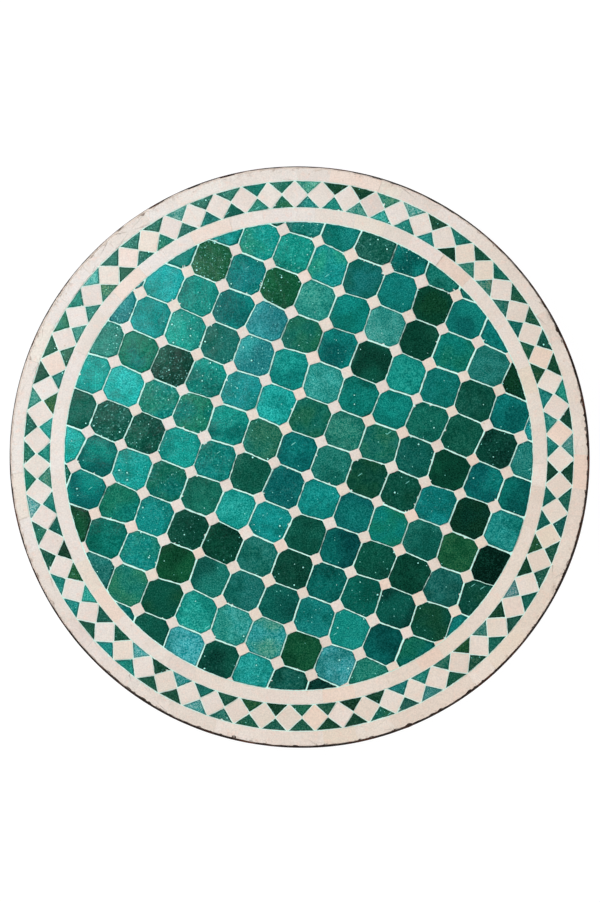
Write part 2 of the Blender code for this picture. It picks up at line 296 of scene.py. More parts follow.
def opaque(*colour):
    """Linear colour of sRGB bytes, with full alpha."""
    return (*linear(colour), 1.0)


# The border's greens lean to one shade, and are hazier than those of the field
BORDER_SHADE = linear((30, 100, 70))
BORDER_EVENNESS = 0.12
BORDER_TINT = (2.2, 1.0, 0.95)


def vary(colour, stray, draw):
    """A colour a little lighter or darker, and a little off in hue."""
    tone_stray, hue_stray = stray
    hue = np.array([1 + draw.gauss(0, hue_stray) for _ in range(3)])
    return colour * hue * (1 + draw.gauss(0, tone_stray))


def pick_one(choices, draw):
    """One of several values, each given with its share."""
    values, shares = zip(*choices.values())
    return np.array(draw.choices(values, shares)[0])


def lit_side_factors(centre, factors):
    """The painted-light factors of a place on the table, between the lit side and the side away from the
    light.
    """
    return np.array(factors) ** ((centre * on_circle(1.0, -LIT_SIDE_DIRECTION)).real / RIM_RADIUS)


def pick_shades(glazes, shifts, stray, factors, draw, centre):
    """The main and the second shade of one tile."""
    # Painted light: the shades are lifted, and the ivory cooled, towards the lit side
    main = vary(linear(pick_one(glazes, draw)), stray, draw) * lit_side_factors(centre, factors)
    return main, vary(main * pick_one(shifts, draw), stray, draw)


pick_green = partial(pick_shades, GREEN_GLAZES, GREEN_SHIFTS, GREEN_STRAY, GREEN_LIT_SIDE)
pick_ivory = partial(pick_shades, IVORY_GLAZES, IVORY_SHIFTS, IVORY_STRAY, IVORY_LIT_SIDE)


def pick_border_green(draw, centre):
    """The shades of one green tile of the border."""
    shades = pick_green(draw, centre)
    return [(shade + (BORDER_SHADE - shade) * BORDER_EVENNESS) * BORDER_TINT for shade in shades]


# Tiles

# Values that the tiles' vertices carry for the glaze: kind of attribute and its field
TILE_VALUES = {
    "tile_colour": ("FLOAT_COLOR", "color"),
    "tile_second": ("FLOAT_COLOR", "color"),
    "tile_place": ("FLOAT_VECTOR", "vector"),
    "tile_edge": ("FLOAT", "value"),
    "tile_bare": ("FLOAT", "value"),
}


class TileHeap:
    """Vertices, faces and surface values of one piece while its tiles are added."""

    def __init__(self):
        self.vertices = []
        self.faces = []
        self.count = 0
        self.values = {name: [] for name in TILE_VALUES}

    def add_rings(self, rings):
        """Walls between rings of vertices from the back up, a floor, and a fan to a last single vertex."""
        size = len(rings[0][0])
        around = np.arange(size)
        following = np.roll(around, -1)
        first = self.count
        self.faces.append(list(first + around[::-1]))
        for ring in range(len(rings) - 2):
            lower, upper = first + ring * size, first + (ring + 1) * size
            walls = np.stack([lower + around, lower + following, upper + following, upper + around], 1)
            self.faces.extend(walls.tolist())
        lower, crown = first + (len(rings) - 2) * size, first + (len(rings) - 1) * size
        self.faces.extend([lower + here, lower + there, crown] for here, there in zip(around, following))
        for points, heights in rings:
            self.vertices.append(np.stack([points.real, points.imag, heights], 1))
            self.count += len(points)

    def mesh(self):
        """All the vertices and faces."""
        return np.concatenate(self.vertices).tolist(), self.faces


def chip_depths(points, kind, draw):
    """How deep the chips bite into each point of an outline."""
    depths = np.zeros(len(points))
    for _ in range(int(draw.expovariate(1 / kind.chips))):
        place = points[draw.randrange(len(points))]
        width = draw.uniform(*CHIP_WIDTHS) * kind.chip_depth
        depth = draw.uniform(*CHIP_DEPTHS) * kind.chip_depth
        depths = np.maximum(depths, depth * (1 - (abs(points - place) / width) ** 2).clip(0, 1))
    return depths


def cut_outline(corners, kind, draw):
    """The wavy, chipped outline of one tile, and how deep chips bite into its points."""
    outline = resample(round_corners(corners, kind.corner), kind.spacing)
    along = np.roll(outline, -1) - np.roll(outline, 1)
    inward = 1j * along / abs(along)
    bites = chip_depths(outline, kind, draw)
    shift = bites
    for wavelength, share in EDGE_WAVES:
        shift = shift + kind.wave * share * ripple(outline, draw, wavelength)
    return outline + inward * shift, bites


def add_tile(heap, corners, kind, shades, draw):
    """One tile with a hand-cut edge, a slight tilt and an uneven face."""
    outline, bites = cut_outline(corners, kind, draw)
    size = len(outline)
    middle = outline.mean()
    inner_reach = abs(outline - middle).min()
    outer_reach = abs(outline - middle).max()
    steepest = MOST_RISE / outer_reach
    slant = kind.edge_stray / max(inner_reach, SHORTEST_REACH) * draw.gauss(0, 1)
    tilt = on_circle(min(max(slant, -steepest), steepest), draw.uniform(0, tau))
    lift = HEIGHT_SHARE * kind.edge_stray * draw.gauss(0, 1)
    seed = draw.random()

    def relief(points):
        """Tilt, dome and unevenness of the glazed face over the plan."""
        slope = ((points - middle) * np.conj(tilt)).real
        spread = abs(points - middle) / outer_reach
        unevenness = ripple(points, random.Random(seed), FACE_WAVELENGTH) * kind.dome / DOMES_PER_WAVE
        return slope + kind.dome * (DOME_LEVEL - spread ** 2) + unevenness

    # The whole edge of the face stands clear of the grout
    lowest_face = TABLE_TOP - GROUT_DEPTH + LEAST_LIP + LIP_DROP * kind.bevel
    face_level = max(TABLE_TOP + lift, lowest_face - relief(outline).min())

    def drawn_in(distance, share=1.0):
        """The outline drawn in by a distance, and to a share of what is left."""
        return middle + (outline - middle) * share * (1 - min(distance / inner_reach, DEEPEST_INSET))

    chipped = (bites / kind.chip_depth).clip(0, 1)
    rings = [(drawn_in(TILE_BACK_INSET), np.full(size, TILE_FLOOR))]
    edge = [np.ones(size)]
    bare = [chipped]
    for distance, drop in TILE_EDGES:
        ring = drawn_in(distance * kind.bevel)
        rings.append((ring, face_level + relief(ring) - drop * kind.bevel))
        # Rings below the face: they carry the painted shade of the tile's edge, and only they can be bare
        # where chipped
        shaded_edge = float(drop > 0)
        edge.append(np.full(size, shaded_edge))
        bare.append(chipped * shaded_edge)
    face = [drawn_in(SHOULDER_INSET * kind.bevel, share) for share in TILE_FACE_SHARES] + [np.array([middle])]
    rings.extend((ring, face_level + relief(ring)) for ring in face)
    heap.add_rings(rings)

    points = np.concatenate([ring for ring, heights in rings])
    offset = [draw.uniform(-PLACE_SPREAD, PLACE_SPREAD) for _ in range(3)]
    place = np.stack([points.real + offset[0], points.imag + offset[1], np.full(len(points), offset[2])], 1)
    smooth = np.zeros(len(points) - len(edge) * size)
    heap.values["tile_place"].append(place)
    heap.values["tile_edge"].append(np.concatenate([*edge, smooth]))
    heap.values["tile_bare"].append(np.concatenate([*bare, smooth]))
    for name, shade in zip(("tile_colour", "tile_second"), shades):
        heap.values[name].append(np.tile([*shade, 1.0], (len(points), 1)))


def add_object(name, data):
    """A new object in the scene."""
    added = bpy.data.objects.new(name, data)
    bpy.context.scene.collection.objects.link(added)
    return added


def make_piece(name, vertices, faces, material, slot, *nodes):
    """A mesh object that rides on the part and stands for solids of it."""
    mesh = bpy.data.meshes.new(name)
    mesh.from_pydata(vertices, [], faces)
    mesh.materials.append(material)
    mesh.shade_smooth()
    mesh.validate()
    piece = add_object(name, mesh)
    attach(piece, "root")
    if nodes:
        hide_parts(*nodes)
    return piece


def make_tile_piece(node, heap, material, slot):
    """The piece of dressed tiles that stands for one row or arc of the solids."""
    piece = make_piece(f"glazed_{node}", *heap.mesh(), material, slot, node)
    for name, (kind, field) in TILE_VALUES.items():
        attribute = piece.data.attributes.new(name, kind, "POINT")
        attribute.data.foreach_set(field, np.concatenate(heap.values[name]).astype(np.float32).ravel())


# Field of octagons and small squares

@lru_cache(maxsize=None)
def square_cell(column, row):
    """Right, top, left and bottom corners of the cell of one small square, as set by hand."""
    draw = random.Random(f"square cell {column} {row}")
    stray = complex(draw.gauss(0, LATTICE_STRAY), draw.gauss(0, LATTICE_STRAY))
    centre = complex(column, row) * FIELD_PITCH + stray
    turn = draw.gauss(0, SQUARE_TURN)
    reach = SQUARE_CELL_REACH * (1 + draw.gauss(0, SQUARE_SPREAD))
    corners = centre + on_circle(reach, turn + np.arange(4) * pi / 2)
    return FIELD_ORIGIN + corners * on_circle(1.0, FIELD_ANGLE)


def octagon_corners(column, row):
    """Outline of one octagon between its four small squares."""
    south_west, south_east = square_cell(column, row), square_cell(column + 1, row)
    north_west, north_east = square_cell(column, row + 1), square_cell(column + 1, row + 1)
    cell = np.array([south_west[0], south_east[2], south_east[1], north_east[3],
                     north_east[2], north_west[0], north_west[3], south_west[1]])
    draw = random.Random(f"octagon gaps {column} {row}")
    return inset_sides(cell, np.array([gap * draw.uniform(*GAP_SPREAD) for gap in OCTAGON_GAPS]))


def square_corners(column, row):
    """Outline of one small square."""
    return inset_sides(square_cell(column, row), np.full(4, SQUARE_GAP))


def row_name(name, row):
    """Name of the solid of a row: the middle one, or so many rows up or down from it."""
    if row == 0:
        return f"{name}_middle"
    return f"{name}_{'up' if row > 0 else 'down'}_{abs(row)}"


def make_field(name, rows, corners_at, kind, pick, material, slot):
    """Every row of one kind of tile in the field. Slivers past the end rows go with the nearest row."""
    heaps = {row: TileHeap() for row in rows}
    for row in range(-ROWS_EACH_WAY, ROWS_EACH_WAY):
        for column in range(-ROWS_EACH_WAY, ROWS_EACH_WAY):
            draw = random.Random(f"{name} {column} {row} {TILE_SEED}")
            corners = clip_to_circle(corners_at(column, row), MOSAIC_CENTRE, FIELD_RADIUS - RING_SIDE_GAP)
            if len(corners) > 2 and area_of(corners) > SMALLEST_TILE_AREA:
                heap = heaps[min(max(row, rows[0]), rows[-1])]
                add_tile(heap, corners, kind, pick(draw, corners.mean()), draw)
    for row, heap in heaps.items():
        make_tile_piece(row_name(name, row), heap, material, slot)


# Rings and border

@lru_cache(maxsize=None)
def border_point(radius, half_steps):
    """A meeting point of the border's tiles, so many half steps on from its start."""
    half_steps %= 2 * BORDER_REPEATS
    draw = random.Random(f"border point {radius:.4f} {half_steps}")
    angle = BORDER_START + half_steps * BORDER_STEP / 2 + draw.gauss(0, BORDER_STRAY) / radius
    stray = draw.gauss(0, BORDER_STRAY) if radius == BORDER_MIDDLE_RADIUS else 0.0
    return MOSAIC_CENTRE + on_circle(radius + stray, angle)


def triangle(base_radius, base_gap, turn, number):
    """Outline of one triangle with its tip in the middle of the border, the turn keeping its direction."""
    cell = np.array([border_point(BORDER_MIDDLE_RADIUS, 2 * number),
                     border_point(base_radius, 2 * number - turn),
                     border_point(base_radius, 2 * number + turn)])
    return inset_sides(cell, np.array([TRIANGLE_SIDE_GAP, base_gap, TRIANGLE_SIDE_GAP]))


# The outer triangles point inwards, and the inner ones outwards
outer_triangle = partial(triangle, BORDER_OUTER_RADIUS, OUTER_BASE_GAP, 1)
inner_triangle = partial(triangle, BORDER_INNER_RADIUS, INNER_BASE_GAP, -1)


def diamond(number):
    """Outline of one diamond, its four points cut back."""
    half_step = 2 * number + 1
    cell = np.array([border_point(BORDER_INNER_RADIUS, half_step),
                     border_point(BORDER_MIDDLE_RADIUS, half_step - 1),
                     border_point(BORDER_OUTER_RADIUS, half_step),
                     border_point(BORDER_MIDDLE_RADIUS, half_step + 1)])
    corners = inset_sides(cell, np.full(4, DIAMOND_GAP))
    for point, across in zip(cell, np.roll(cell, 2)):
        normal = (point - across) / abs(point - across)
        corners = clip(corners, normal, (point * np.conj(normal)).real - DIAMOND_TIP_GAP)
    return corners


def seam_angle(name, number):
    """Angle of one seam of a plain ring."""
    number %= RING_TILES
    return (number + random.Random(f"{name} seam {number}").gauss(0, SEAM_STRAY)) * tau / RING_TILES


def hoop_inside(angle):
    """Radius of the hoop's inside, which is bent not quite round."""
    return RIM_INNER_RADIUS - HOOP_SHRINK + HOOP_OVAL * np.cos(2 * (angle - HOOP_OVAL_ANGLE))


def ring_corners(name, number, inner_radius, outer_edge):
    """Outline of one tile of a plain ring, its long sides bent along the ring."""
    first, last = seam_angle(name, number), seam_angle(name, number + 1)
    if last < first:
        last += tau
    seam = RING_SEAM_GAP / inner_radius
    angles = np.linspace(first + seam, last - seam, RING_BENDS)
    inner = MOSAIC_CENTRE + on_circle(inner_radius + RING_SIDE_GAP, angles[::-1])
    return np.concatenate([outer_edge(angles), inner])


def outer_ring_tile(number):
    """Outline of one tile of the ring beside the hoop."""
    return ring_corners("outer ring", number, BORDER_OUTER_RADIUS,
                        lambda angles: on_circle(hoop_inside(angles) - RING_SIDE_GAP, angles))


def inner_ring_tile(number):
    """Outline of one tile of the ring round the field."""
    return ring_corners("inner ring", number, FIELD_RADIUS,
                        lambda angles: MOSAIC_CENTRE + on_circle(BORDER_INNER_RADIUS - RING_SIDE_GAP, angles))


def make_ring(name, count, corners_at, kind, pick, material, slot):
    """One ring of tiles in the same arcs as its solids."""
    for arc in range(RING_ARCS):
        heap = TileHeap()
        for number in range(arc * count // RING_ARCS, (arc + 1) * count // RING_ARCS):
            draw = random.Random(f"{name} {number} {TILE_SEED}")
            corners = corners_at(number)
            add_tile(heap, corners, kind, pick(draw, corners.mean()), draw)
        make_tile_piece(f"{name}_{arc + 1}", heap, material, slot)


# Grout, hoop and mortar

def turned_rings(profile_at, sides):
    """Vertices and faces of a closed ring, from its section at each angle."""
    angles = np.arange(sides) * tau / sides
    sections = [profile_at(angle) for angle in angles]
    size = len(sections[0])
    vertices = [(*(radius * np.array([np.cos(angle), np.sin(angle)])), height)
                for angle, section in zip(angles, sections) for radius, height in section]
    faces = []
    for side in range(sides):
        here, there = side * size, (side + 1) % sides * size
        for step in range(size):
            following = (step + 1) % size
            faces.append((here + step, here + following, there + following, there + step))
    return vertices, faces


def wander(name, waves, fewest, most):
    """A smooth random function of the angle, of about one."""
    draw = random.Random(name)
    terms = [(draw.randint(fewest, most), draw.uniform(0, tau)) for _ in range(waves)]
    return lambda angle: sum(np.sin(count * angle + phase) for count, phase in terms) / sqrt(waves)


GROUT_RINGS = 120
GROUT_SIDES = 360
GROUT_UNEVENNESS = 0.00004
GROUT_WAVELENGTH = 0.009
GROUT_WAVES = 12
GROUT_FLOOR = TILE_FLOOR + 0.0006


def make_grout(material):
    """The grout round all the tiles: a plate with an uneven top, a little below their faces."""
    shares = np.linspace(1, 0, GROUT_RINGS, endpoint=False)
    angles = np.arange(GROUT_SIDES) * tau / GROUT_SIDES
    rim = on_circle(hoop_inside(angles), angles)
    points = np.concatenate([rim * share for share in shares] + [np.array([0j])])
    bumps = ripple(points, random.Random("grout"), GROUT_WAVELENGTH, GROUT_WAVES)
    heights = TABLE_TOP - GROUT_DEPTH + GROUT_UNEVENNESS * bumps
    cuts = np.arange(1, GROUT_RINGS + 1) * GROUT_SIDES
    rings = np.split(points, cuts)
    heap = TileHeap()
    heap.add_rings([(rings[0], np.full(GROUT_SIDES, GROUT_FLOOR)), *zip(rings, np.split(heights, cuts))])
    make_piece("joint_grout", *heap.mesh(), material, "fine_mortar")


HOOP_SIDES = 720
HOOP_ROUNDING = 0.0004
HOOP_WORN_ROUNDING = 0.3 * HOOP_ROUNDING
HOOP_WOBBLE = 0.00018
HOOP_DENTS = 0.4 * HOOP_WOBBLE
HOOP_TOP_WOBBLE = 0.00015
HOOP_LEVELS = (0.004, 0.010, 0.015, 0.020, 0.026)
WELD_ANGLE = radians(292)
WELD_WIDTH = radians(0.9)
WELD_HEIGHT = 0.0007
WELD_AT_EDGE = 1 / 2
WELD_ON_TOP = 1 / 3


def make_hoop(material):
    """The iron hoop: a strip with worn edges, bent not quite round, its ends joined by a weld."""
    bend = wander("hoop bend", waves=9, fewest=2, most=14)
    top_edge = wander("hoop top", waves=14, fewest=3, most=60)
    hammered = [wander(f"hoop level {level}", waves=16, fewest=8, most=90) for level in HOOP_LEVELS]

    def section(angle):
        """Section of the strip at one angle, from its inner foot round to its inner top."""
        weld = WELD_HEIGHT * np.exp(-((angle - WELD_ANGLE) / WELD_WIDTH) ** 2)
        inner = hoop_inside(angle)
        outer = inner + RIM_THICKNESS + HOOP_WOBBLE * bend(angle)
        top = TABLE_TOP + HOOP_TOP_WOBBLE * top_edge(angle)
        foot = [(inner, HOOP_ROUNDING), (inner + HOOP_ROUNDING, 0.0),
                (outer - HOOP_ROUNDING, 0.0), (outer, HOOP_ROUNDING)]
        side = [(outer + weld + HOOP_DENTS * dents(angle), level)
                for level, dents in zip(HOOP_LEVELS, hammered)]
        edge = [(outer + weld * WELD_AT_EDGE, top - HOOP_ROUNDING),
                (outer - HOOP_WORN_ROUNDING, top - HOOP_WORN_ROUNDING),
                (outer - HOOP_ROUNDING, top + weld * WELD_ON_TOP),
                (inner + HOOP_ROUNDING, top), (inner, top - HOOP_ROUNDING)]
        return foot + side + edge

    make_piece("iron_hoop", *turned_rings(section, HOOP_SIDES), material, "dark_iron", "rim_band")


SMEAR_SIDES = 900
SMEAR_DIRECTION = radians(134)
SMEAR_MEAN = 0.0003
SMEAR_SWING = 0.00086
SMEAR_RAGGED = 0.00020
SMEAR_RISE = 0.00018
SMEAR_FOOT = 0.0012
SMEAR_LEAST = 0.00002
SMEAR_LAP = 0.0002
SMEAR_CREST = 0.6
SMEAR_END_RISE = 0.7
SMEAR_START_RISE = 0.5
SPILL_REACH = 0.0014
SPILL_START = 0.4
SPILL_RISE = 0.00010


def make_smear(material):
    """Mortar rubbed over the hoop's edge, wider towards one side, and spilt on the tiles in spots."""
    ragged = wander("smear", waves=24, fewest=8, most=160)
    spilt = wander("spill", waves=24, fewest=12, most=170)

    def section(angle):
        """Section of the smear at one angle."""
        reach = SMEAR_MEAN + SMEAR_SWING * np.cos(angle - SMEAR_DIRECTION) + SMEAR_RAGGED * ragged(angle)
        reach = min(max(reach, SMEAR_LEAST), RIM_THICKNESS)
        spill = SPILL_REACH * max(spilt(angle) - SPILL_START, 0.0)
        iron = hoop_inside(angle)
        inner = iron - RING_SIDE_GAP - SMEAR_LAP - spill
        rise = SMEAR_RISE if reach > SMEAR_LEAST else -SMEAR_LAP
        spill_rise = SPILL_RISE if spill else -SMEAR_LAP
        return [(inner, TABLE_TOP - SMEAR_FOOT), (iron, TABLE_TOP - SMEAR_FOOT),
                (iron + reach, TABLE_TOP - SMEAR_LAP), (iron + reach, TABLE_TOP + rise * SMEAR_END_RISE),
                (iron + reach * SMEAR_CREST, TABLE_TOP + rise),
                (iron, TABLE_TOP + max(rise * SMEAR_START_RISE, spill_rise)), (inner, TABLE_TOP + spill_rise)]

    make_piece("rim_mortar", *turned_rings(section, SMEAR_SIDES), material, "fine_mortar")


QUARTER_TURNS = [on_circle(1.0, quarter * pi / 2) for quarter in range(4)]
LOBE_STEPS = 60
LOBE_SPACING = 0.004
LOBE_ROUNDING = 0.0012
LOBE_REACH = 0.1
LOBE_RINGS = 24
LOBE_LAST_RING = 0.04
PLATE_FOOT = 0.999
PLATE_MIDDLE = 0.5
TROWEL_DEPTH = 0.0006
TROWEL_LEVEL = 0.5
TROWEL_SWING = 0.3
TROWEL_SWEEP = 0.035
TROWEL_SWEEPS = 10
TROWEL_GRIT = 0.009
TROWEL_GRIT_SHARE = 0.5


def trowelled(points):
    """Heights of the mortar's underside where a trowel went over it."""
    seed = random.Random("trowel").random()
    sweeps = ripple(points, random.Random(seed), TROWEL_SWEEP, TROWEL_SWEEPS)
    rough = sweeps + TROWEL_GRIT_SHARE * ripple(points, random.Random(seed), TROWEL_GRIT)
    return TROWEL_DEPTH * (TROWEL_LEVEL + TROWEL_SWING * rough).clip(0, 1)


def make_slab(material):
    """The mortar back: an upper plate, and four trowelled lobes between the arms of the iron cross."""
    slot = BAR_HALF_WIDTH + SEAT_GAP
    slot_top = BAR_TOP + SEAT_GAP
    heap = TileHeap()
    plate = on_circle(MORTAR_RADIUS, np.arange(LOBE_STEPS * 4) * tau / (LOBE_STEPS * 4))
    levels = ((PLATE_FOOT, slot_top), (1.0, slot_top + LOBE_ROUNDING),
              (1.0, SLAB_TOP), (PLATE_MIDDLE, SLAB_TOP))
    rings = [(plate * share, np.full(len(plate), height)) for share, height in levels]
    heap.add_rings(rings + [(np.array([0j]), np.array([SLAB_TOP]))])
    far = sqrt(MORTAR_RADIUS ** 2 - slot ** 2)
    start, end = np.angle(complex(far, slot)), np.angle(complex(slot, far))
    arc = on_circle(MORTAR_RADIUS, np.linspace(start, end, LOBE_STEPS))
    outline = resample(np.concatenate([arc, [complex(slot, slot)]]), LOBE_SPACING)
    middle = outline.mean()
    rings = [(outline, np.full(len(outline), slot_top + LOBE_ROUNDING)),
             (outline, np.full(len(outline), LOBE_ROUNDING))]
    for share in np.linspace(1 - LOBE_ROUNDING / LOBE_REACH, LOBE_LAST_RING, LOBE_RINGS):
        points = middle + (outline - middle) * share
        rings.append((points, trowelled(points)))
    rings.append((np.array([middle]), np.array([TROWEL_DEPTH / 2])))
    for turn in QUARTER_TURNS:
        heap.add_rings([(points.conj() * turn, heights) for points, heights in rings])
    make_piece("mortar_back", *heap.mesh(), material, "coarse_mortar", "backing_slab")


# Materials

class Look:
    """The nodes of a material or of the world, with a short call for each kind that it needs."""

    def __init__(self, owner, shader="Principled BSDF"):
        owner.use_nodes = True
        self.owner = owner
        self.tree = owner.node_tree
        self.shader = self.tree.nodes[shader]

    def put(self, socket, value):
        """Set a socket to a constant, or link it to another node's output."""
        if isinstance(value, bpy.types.NodeSocket):
            self.tree.links.new(value, socket)
        else:
            socket.default_value = value

    def add(self, kind, inputs, **settings):
        """The outputs of a new node with its settings and inputs, which are named or numbered."""
        node = self.tree.nodes.new(f"ShaderNode{kind}")
        for name, value in settings.items():
            setattr(node, name, value)
        for key, value in inputs.items():
            self.put(node.inputs[key], value)
        return node.outputs

    def shade(self, **inputs):
        """Set the shader's own inputs, spaces in their names written as underscores."""
        for name, value in inputs.items():
            self.put(self.shader.inputs[name.replace("_", " ")], value)

    def attribute(self, name, output):
        """A value stored on the mesh."""
        return self.add("Attribute", {}, attribute_name=name)[output]

    def tile_shades(self, share):
        """The two shades of a tile mixed by a share."""
        return self.mix(share, self.attribute("tile_colour", "Color"), self.attribute("tile_second", "Color"))

    def table_place(self):
        """Where a point is on the table, in metres."""
        return self.add("TexCoord", {})["Object"]

    def vector(self, operation, first, second, output=0):
        """Arithmetic on vectors."""
        return self.add("VectorMath", {0: first, 1: second}, operation=operation)[output]

    def noise(self, place, size, detail=2.0, roughness=0.5):
        """Cloudy noise with features of about a size in metres."""
        inputs = {"Vector": place, "Scale": 1 / size, "Detail": detail, "Roughness": roughness}
        return self.add("TexNoise", inputs)["Fac"]

    def warped(self, place, size, reach):
        """A place with small random shifts, to break up round shapes."""
        shift = self.add("TexNoise", {"Vector": place, "Scale": 1 / size})["Color"]
        centred = self.vector("SUBTRACT", shift, (0.5, 0.5, 0.5))
        scaled = self.add("VectorMath", {0: centred, "Scale": reach}, operation="SCALE")
        return self.vector("ADD", place, scaled[0])

    def remap(self, value, low, high, to_low=0.0, to_high=1.0):
        """A value between two limits, eased to two others."""
        return self.add("MapRange", {0: value, 1: low, 2: high, 3: to_low, 4: to_high},
                        interpolation_type="SMOOTHSTEP")[0]

    def math(self, operation, *values):
        """Arithmetic on values."""
        return self.add("Math", dict(enumerate(values)), operation=operation)[0]

    def times(self, first, second):
        """The product of two values."""
        return self.math("MULTIPLY", first, second)

    def mix(self, share, first, second, blend="MIX"):
        """Two colours mixed by a share."""
        return self.add("Mix", {0: share, 6: first, 7: second}, data_type="RGBA", blend_type=blend)[2]

    def tint(self, colour, red, green, blue):
        """A colour with each channel multiplied by its own factor."""
        factors = self.add("CombineColor", {0: red, 1: green, 2: blue})[0]
        return self.mix(1.0, colour, factors, "MULTIPLY")

    def tone(self, colour, *factors):
        """A colour made darker or lighter by factors."""
        for factor in factors:
            colour = self.tint(colour, factor, factor, factor)
        return colour

    def bump(self, height, distance, strength):
        """Fine relief."""
        normal = self.add("Bump", {"Height": height, "Distance": distance, "Strength": strength})
        self.put(self.shader.inputs["Normal"], normal["Normal"])


def new_material(paint):
    """A material with the name of the function that paints it."""
    look = Look(bpy.data.materials.new(paint.__name__))
    paint(look)
    return look.owner


def specks(look, place, cell, share, radii, dimensions="2D"):
    """Masks of scattered dots and of the rings round them, in cells, with least and largest radius."""
    cells = look.add("TexVoronoi", {"Vector": place, "Scale": 1 / cell}, voronoi_dimensions=dimensions)
    chosen = look.add("SeparateColor", {0: cells["Color"]})
    present = look.math("LESS_THAN", chosen[0], share)
    radius = look.remap(chosen[1], 0.0, 1.0, radii[0] / cell, radii[1] / cell)
    distance = look.math("DIVIDE", cells["Distance"], radius)
    dot = look.remap(distance, 0.75, 1.1, 1.0, 0.0)
    ring = look.remap(distance, 1.0, 3.0, 1.0, 0.0)
    return look.times(dot, present), look.times(ring, present)


# Green glaze. Here and below, the colours and the sizes of the features come first

CHIP_WHITE = opaque(222, 230, 222)
# The whites of the specks are partly real marks and partly painted glints
SPECK_AND_GLINT_WHITE = opaque(150, 253, 240)
PINHOLE_AND_GLINT_WHITE = opaque(170, 252, 240)
GREEN_CLOUD = 0.030
GREEN_MOTTLE = 0.0075
GREEN_GRAIN = 0.0014
GREEN_WAVES = 0.012
GREEN_DIMPLES = 0.0018
GREEN_RELIEF = 0.00012
DUST_AND_SHEEN_SIZE = 0.0022
SPECK_WARP_SIZE = 0.0008
SPECK_WARP_REACH = 0.0006
PINHOLE_CELL = 0.0090
PINHOLE_RADII = (0.00045, 0.00090)
GRIT_CELL = 0.0040
GRIT_RADII = (0.00028, 0.00052)
# The lit side, where the white specks, partly painted glints, gather
LIT_SIDE_VECTOR = (cos(LIT_SIDE_DIRECTION), sin(LIT_SIDE_DIRECTION), 0.0)
SCRATCH_CELL = 0.0080
SCRATCH_RADII = (0.00025, 0.00040)
SCRATCH_TURN = radians(55)
SCRATCH_STRETCH = (1.0, 0.12, 1.0)


def green_shades(look, place, mottle, grain):
    """Pooled shades with mottle and grain, painted shade along the edges of a tile where it dips to the
    joint, and partly painted sheen in the red grain.
    """
    colour = look.tile_shades(look.remap(look.noise(place, GREEN_CLOUD), 0.38, 0.62))
    # Painted shade along the tile's edge, where it dips to the joint, patchy with the mottle
    shaded_edge = look.times(look.attribute("tile_edge", "Fac"), look.remap(mottle, 0.3, 0.6, 0.1, 0.6))
    colour = look.tone(colour, look.remap(mottle, 0.25, 0.75, 0.86, 1.16), look.math("SUBTRACT", 1.0, shaded_edge))
    # The red lift on the grain's peaks is partly painted sheen, whitening them as fine glints would
    red_grain_and_sheen = look.remap(grain, 0.36, 0.75, 0.0, 4.4)
    green_grain = look.remap(grain, 0.25, 0.75, 0.48, 1.52)
    return look.tint(colour, red_grain_and_sheen, green_grain, green_grain)


def pit_and_glint_share(look, place):
    """How many pits and white specks a tile has: each in its own measure, and more on the table's lit side,
    where the specks also stand for painted glints.
    """
    tile_number = look.add("SeparateXYZ", {0: place})["Z"]
    side = look.vector("DOT_PRODUCT", look.table_place(), LIT_SIDE_VECTOR, "Value")
    own = look.remap(tile_number, -PLACE_SPREAD, PLACE_SPREAD, 0.01, 0.12)
    return look.times(own, look.remap(side, -RIM_RADIUS / 5, RIM_RADIUS, 0.5, 2.7))


def glaze_marks(look, place, grain, colour):
    """The colour with white dust and painted sheen, painted sparkle, grit, scratches and pinholes, their
    white partly painted glints, and the mask of the pinholes.
    """
    pits_and_glints = pit_and_glint_share(look, place)
    # White dust with painted sheen, more of it on the lit side, and painted sparkle on the grain's peaks
    dust_and_sheen = look.remap(look.noise(place, DUST_AND_SHEEN_SIZE, 1.0), 0.56, 0.80)
    painted_sparkle = look.remap(grain, 0.48, 0.80, 0.0, 0.024)
    colour = look.mix(look.math("MULTIPLY_ADD", dust_and_sheen, pits_and_glints, painted_sparkle), colour, SPECK_AND_GLINT_WHITE)
    warped = look.warped(place, SPECK_WARP_SIZE, SPECK_WARP_REACH)
    dot, ring = specks(look, warped, PINHOLE_CELL, pits_and_glints, PINHOLE_RADII)
    grit = specks(look, warped, GRIT_CELL, pits_and_glints, GRIT_RADII)[0]
    turned = look.add("VectorRotate", {"Vector": place, "Angle": SCRATCH_TURN}, rotation_type="Z_AXIS")[0]
    stretched = look.vector("MULTIPLY", turned, SCRATCH_STRETCH)
    scratch = specks(look, stretched, SCRATCH_CELL, 0.06, SCRATCH_RADII)[0]
    colour = look.tone(colour, look.math("SUBTRACT", 1.0, look.times(ring, 0.45)))
    marks = look.math("MAXIMUM", look.times(grit, 0.8), look.times(scratch, 0.6))
    colour = look.mix(marks, colour, SPECK_AND_GLINT_WHITE)
    return look.mix(dot, colour, PINHOLE_AND_GLINT_WHITE), dot


